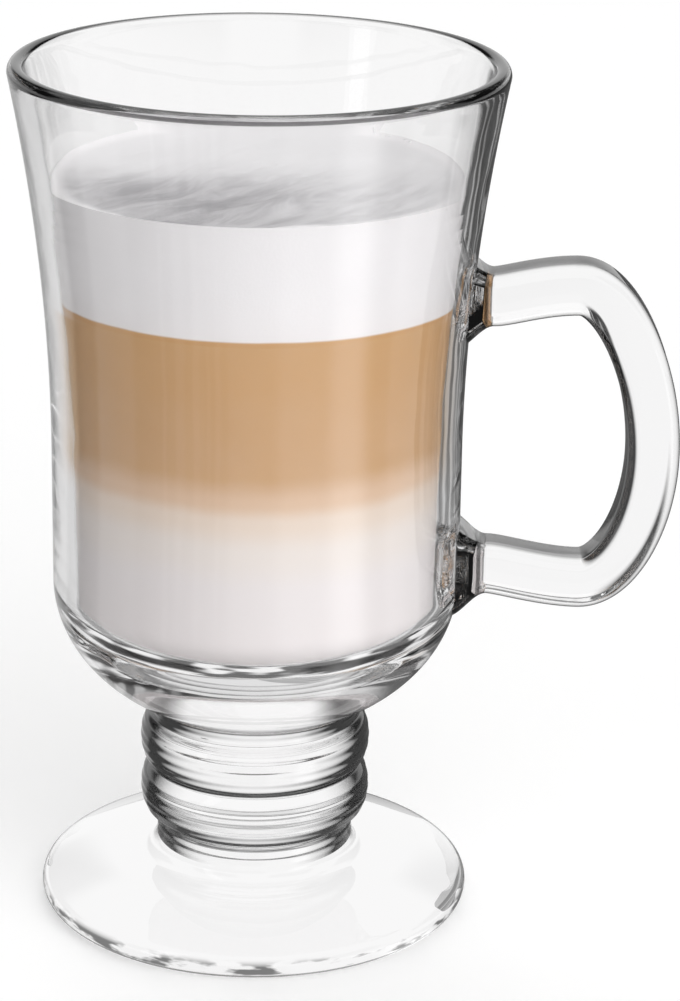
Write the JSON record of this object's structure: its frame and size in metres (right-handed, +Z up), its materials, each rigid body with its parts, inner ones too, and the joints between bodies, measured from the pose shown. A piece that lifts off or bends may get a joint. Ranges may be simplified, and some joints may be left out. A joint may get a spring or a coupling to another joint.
{
  "type": "latte macchiato glass",
  "caption": "Footed clear glass mug with a flared mouth, ringed stem and side handle, filled with a layered drink of milk, coffee and foam.",
  "frame": {"origin": "centre of the foot's flat underside, on the axis of the bowl, where the mug meets the table", "axes": "+Z up along the axis of the bowl, +X out through the handle, +Y across the handle, which lies in the plane Y = 0"},
  "size_m": [0.1093, 0.08, 0.144],
  "materials": {
    "clear_glass": "clear fire-polished soda-lime glass",
    "milk": "opaque liquid",
    "blend": "opaque liquid",
    "coffee": "opaque liquid",
    "foam": "matt fine foam"
  },
  "bodies": {
    "root": {"foot": "clear_glass", "stem": "clear_glass", "bowl": "clear_glass", "handle": "clear_glass", "milk": "milk", "blend": "blend", "coffee": "coffee", "foam": "foam"}
  },
  "joints": []
}
